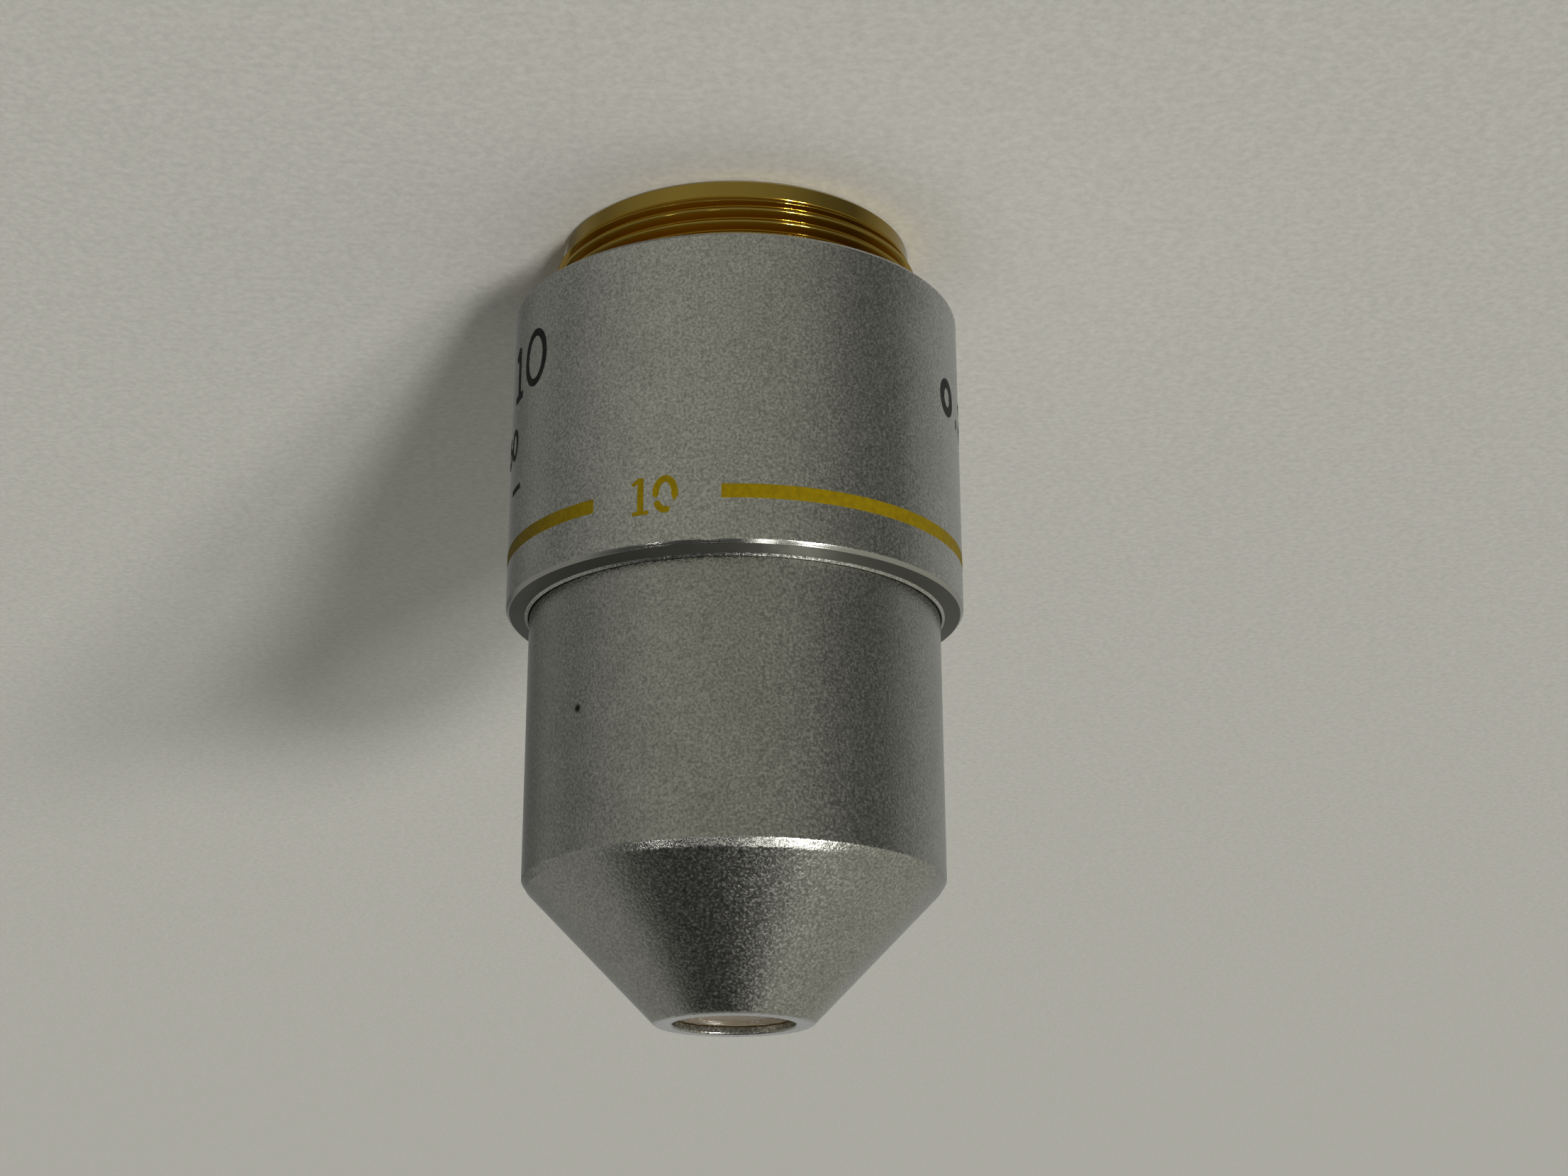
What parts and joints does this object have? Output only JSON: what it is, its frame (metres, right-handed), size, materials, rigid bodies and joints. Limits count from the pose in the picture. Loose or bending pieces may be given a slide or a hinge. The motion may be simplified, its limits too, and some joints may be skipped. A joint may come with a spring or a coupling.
{
  "type": "microscope objective",
  "caption": "Satin chrome microscope objective with a coned nose, a stepped sleeve with a yellow colour band, a brass mounting thread and a stack of lens cells inside.",
  "frame": {"origin": "centre of the mounting shoulder, on the optical axis", "axes": "+Z along the optical axis, from the shoulder towards the front lens; -Y faces the picture's camera"},
  "size_m": [0.0247, 0.0246, 0.0434],
  "materials": {
    "satin_chrome": "satin",
    "lacquered_brass": "satin",
    "blackened_brass": "matte",
    "bare_brass": "satin",
    "optical_glass": "polished",
    "yellow_paint": "satin"
  },
  "bodies": {
    "root": {"outer_sleeve": "satin_chrome", "front_barrel": "satin_chrome", "mount_body": "lacquered_brass", "lens_tube": "blackened_brass", "parfocal_shim": "blackened_brass", "front_spacer": "blackened_brass", "middle_cell": "blackened_brass", "middle_retainer": "blackened_brass", "aperture_stop": "blackened_brass", "rear_spacer": "blackened_brass", "rear_cell": "blackened_brass", "rear_retainer": "blackened_brass", "lock_ring": "blackened_brass", "front_retainer": "blackened_brass", "rear_baffle": "blackened_brass", "front_cell": "bare_brass", "front_lens": "optical_glass", "front_doublet_crown": "optical_glass", "front_doublet_flint": "optical_glass", "middle_doublet_flint": "optical_glass", "middle_doublet_crown": "optical_glass", "rear_doublet_crown": "optical_glass", "rear_doublet_flint": "optical_glass", "colour_band": "yellow_paint"}
  },
  "joints": []
}
